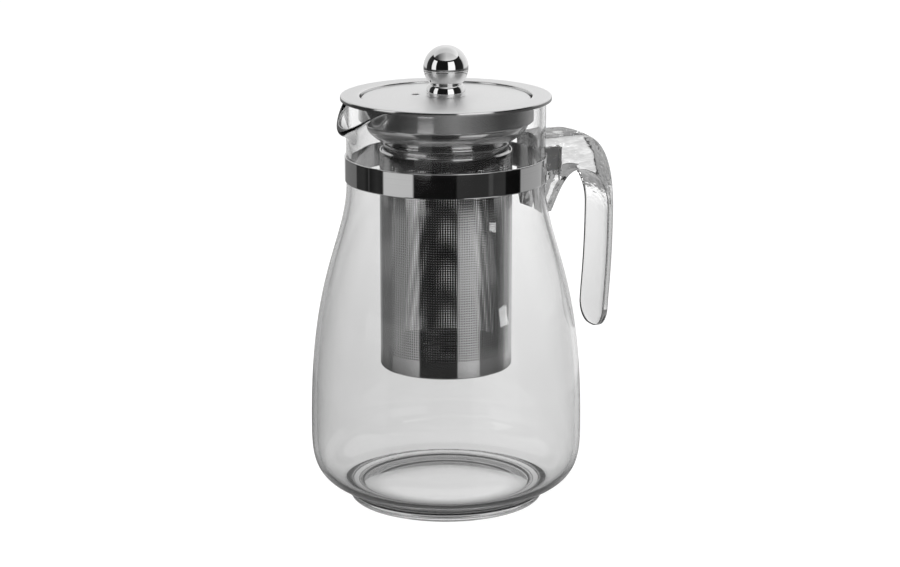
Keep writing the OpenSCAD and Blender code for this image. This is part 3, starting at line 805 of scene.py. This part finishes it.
HIGH = [
    (-180, 0.9), (-150, 0.75), (-116, 0.66), (-112, 0.04), (-77, 0.012), (-75.5, 0.95), (-52.5, 1.05),
    (-51, 0.008), (11, 0.008), (12.5, 1.15), (47, 1.15), (48.5, 0.012), (96, 0.02), (106, 0.7), (150, 0.9),
    (180, 0.9),
]
# The heights, in millimetres, between which each table takes over from the one before it.
LAYERS = ((LOW, 84, 98), (MID, 120, 128), (HIGH, 168, 192))
# From this height up the ring is dim, but for its part behind the object.
DIM_FROM, DIM_LEVEL, DIM_SIDE = 402, 0.015, 105
# A small window that the collar mirrors: its first and last angle, its lowest and highest point and its level.
TAB = (-33, -15, 121, 142.5, 0.8)
# The floor inside the ring has this share of the ring's level.
FLOOR_SHARE = 0.4


def level_of(table, phi):
    """The level in a table at an angle, in a straight line between its entries."""
    for (a, va), (b, vb) in zip(table, table[1:]):
        if a <= phi <= b:
            return lerp(va, vb, (phi - a) / (b - a))
    return table[-1][1]


def ring_level(phi, z):
    """The level of the ring at an angle and a height in millimetres."""
    if TAB[0] <= phi <= TAB[1] and TAB[2] <= z <= TAB[3]:
        return TAB[4]
    if z >= DIM_FROM and abs(phi) <= DIM_SIDE:
        return DIM_LEVEL
    level = level_of(LOWER, phi)
    for table, start, end in LAYERS:
        level = lerp(level, level_of(table, phi), smooth((z - start) / (end - start)))
    return level


def show_only_to(kind, obj, level=None):
    """Makes a glow of an object, seen only by light of one kind of Nodes.mirrored: "metal" or "inside"."""
    mat, t = new_material(obj.name)
    metal, inside = t.mirrored(t.add("ShaderNodeLightPath"))
    if level is None:
        level = t.add("ShaderNodeAttribute", attribute_name="level", attribute_type="GEOMETRY").outputs["Fac"]
    glow = t.add("ShaderNodeEmission", {"Strength": level}).outputs["Emission"]
    nothing = t.add("ShaderNodeBsdfTransparent").outputs["BSDF"]
    t.end(t.mix_shaders(metal if kind == "metal" else inside, nothing, glow))
    obj.data.materials.append(mat)
    obj.visible_camera = False
    obj.visible_shadow = False
    obj.visible_diffuse = False


def panels():
    """The ring of panels, with a floor inside it."""
    radius, top, around, up, floor_z = 280.0, 460.0, 720, 92, 0.8
    rows = [(r, floor_z) for r in (70.0, 120.0, 180.0, 240.0)] + [(radius, top * j / up) for j in range(up + 1)]
    verts, levels, faces = [], [], []
    for r, z in rows:
        for k in range(around):
            phi = 360.0 * k / around - 180.0
            x, y, _ = direction(phi)
            verts.append((r * x, r * y, z))
            levels.append(ring_level(phi, z) * (1.0 if r == radius else FLOOR_SHARE))
    for j in range(len(rows) - 1):
        for k in range(around):
            m = (k + 1) % around
            faces.append((j * around + k, j * around + m, (j + 1) * around + m, (j + 1) * around + k))
    obj = link("panels", verts, faces)
    obj.data.attributes.new("level", "FLOAT", "POINT").data.foreach_set("value", levels)
    show_only_to("metal", obj)


panels()


def sparkle(phi, elevation, width, height, level):
    """A far small lamp, given by its direction and angular size, that only the walls of the glass throw back."""
    distance, middle_z = 1300.0, 100.0
    corners = []
    for sx, sy in ((-1, -1), (1, -1), (1, 1), (-1, 1)):
        x, y, z = direction(phi + sx * width / 2, elevation + sy * height / 2)
        corners.append((distance * x, distance * y, middle_z + distance * z))
    show_only_to("inside", link("sparkle", corners, [(0, 1, 2, 3)]), level)


sparkle(54.0, 7.0, 8.0, 4.6, 900.0)


# Floor, world and lamps


def floor():
    """A pale floor that takes the object's shadow, and that light from inside the glass sees in graded greys of
    painted light and painted shadow.
    """
    half = 8000.0
    obj = link("floor", [(-half, -half, 0), (half, -half, 0), (half, half, 0), (-half, half, 0)], [(0, 1, 2, 3)])
    mat, t = new_material("floor")
    path = t.add("ShaderNodeLightPath")
    metal, inside = t.mirrored(path)
    co = t.add("ShaderNodeTexCoord").outputs["Object"]
    grain = t.span(t.noise(co, 180.0, 3.0), 0.3, 0.7, 0.3, 0.6)
    matt = t.add("ShaderNodeBsdfDiffuse", {"Color": (0.36, 0.36, 0.36, 1), "Roughness": grain}).outputs["BSDF"]
    glow = t.add("ShaderNodeEmission", {"Strength": t.mix(metal, 0.78, 0.05)}).outputs["Emission"]
    plain = t.add("ShaderNodeAddShader", {0: matt, 1: glow}).outputs["Shader"]

    side, back, _ = over_floor(t, co)
    reach = t.add("ShaderNodeVectorMath", {"Vector": co}, operation="LENGTH").outputs["Value"]
    # Painted light and shade: lighter to the right and far behind, and darker far out to either side.
    level = t.math("ADD", t.span(side, -0.14, 0.14, 0.62, 0.97), t.span(back, 0.2, 1.3, 0.0, 0.55))
    wing = t.math("SUBTRACT", t.math("ABSOLUTE", side), t.math("MULTIPLY", t.math("ABSOLUTE", back), 0.22))
    level = t.math("MULTIPLY", level, t.span(wing, 0.14, 0.5, 1.0, 0.36))
    # Painted light in the middle of the base and a painted shadow round the foot, less and less so away from the
    # camera.
    under = t.math("ADD", t.span(reach, 0.030, 0.046, 1.12, 0.34), t.span(reach, 0.064, 0.080, 0.0, 0.7))
    away = t.span(back, -0.03, 0.03, 0.0, 0.9)
    under = t.math("ADD", under, t.math("MULTIPLY", t.math("SUBTRACT", 1.0, under), away))
    level = t.math("MULTIPLY", level, under)
    # Painted shade: darker for light thrown about inside a clear wall, most of all on the camera's side.
    level = t.math("MULTIPLY", level, t.mix(inside, 1.0, t.span(back, -0.02, 0.05, 0.18, 0.9)))
    painted_floor_light = t.add("ShaderNodeEmission", {"Strength": level}).outputs["Emission"]
    through = t.math("MULTIPLY", path.outputs["Is Transmission Ray"], t.math("SUBTRACT", 1.0, metal))
    t.end(t.mix_shaders(through, plain, painted_floor_light))
    obj.data.materials.append(mat)


floor()


def world():
    """White to the camera, greys to glass and metal, and an even light on everything else."""
    studio = bpy.data.worlds.new("studio")
    bpy.context.scene.world = studio
    studio.use_nodes = True
    t = Nodes(studio.node_tree, "ShaderNodeOutputWorld")
    path = t.add("ShaderNodeLightPath")
    metal, inside = t.mirrored(path)
    side, back, up = over_floor(t, t.add("ShaderNodeTexCoord").outputs["Generated"])
    behind = t.span(side, -0.7, 0.7, 1.15, 1.6)
    before = t.span(t.math("ADD", side, 0.1), -0.5, 0.15, 0.10, 1.25)
    mirror = t.mix(t.span(back, -0.05, 0.05, 1.0, 0.0), behind, before)
    mirror = t.math("MULTIPLY", mirror, t.span(up, 0.4, 0.9, 1.0, 0.6))
    lost = t.math("MULTIPLY", inside, t.span(back, -0.1, 0.1, 0.78, 0.15))
    through = t.math("MULTIPLY", t.span(up, 0.0, 0.6, 0.45, 0.9), t.math("SUBTRACT", 1.0, lost))
    level = t.mix(path.outputs["Is Transmission Ray"], 0.72, through)
    level = t.mix(metal, level, mirror)
    level = t.mix(path.outputs["Is Camera Ray"], level, 1.0)
    t.end(t.add("ShaderNodeBackground", {"Strength": level}).outputs["Background"])


world()


def softbox(name, phi, elevation, distance, size, power):
    """A square area lamp that shines at the jug from this direction."""
    lamp = bpy.data.lights.new(name, "AREA")
    lamp.shape = "RECTANGLE"
    lamp.size, lamp.size_y = size, size
    lamp.energy = power
    obj = bpy.data.objects.new(name, lamp)
    bpy.context.scene.collection.objects.link(obj)
    target = Vector((0, 0, 0.1))
    obj.location = target + Vector(direction(phi, elevation)) * distance
    obj.rotation_euler = (target - obj.location).to_track_quat("-Z", "Y").to_euler()
    obj.visible_glossy = False
    obj.visible_transmission = False


softbox("key", -55, 50, 1.4, 0.9, 7.0)
softbox("fill", 70, 45, 1.6, 1.1, 5.0)
softbox("top", 180, 75, 1.5, 1.2, 5.0)

bpy.context.scene.view_settings.view_transform = "Standard"
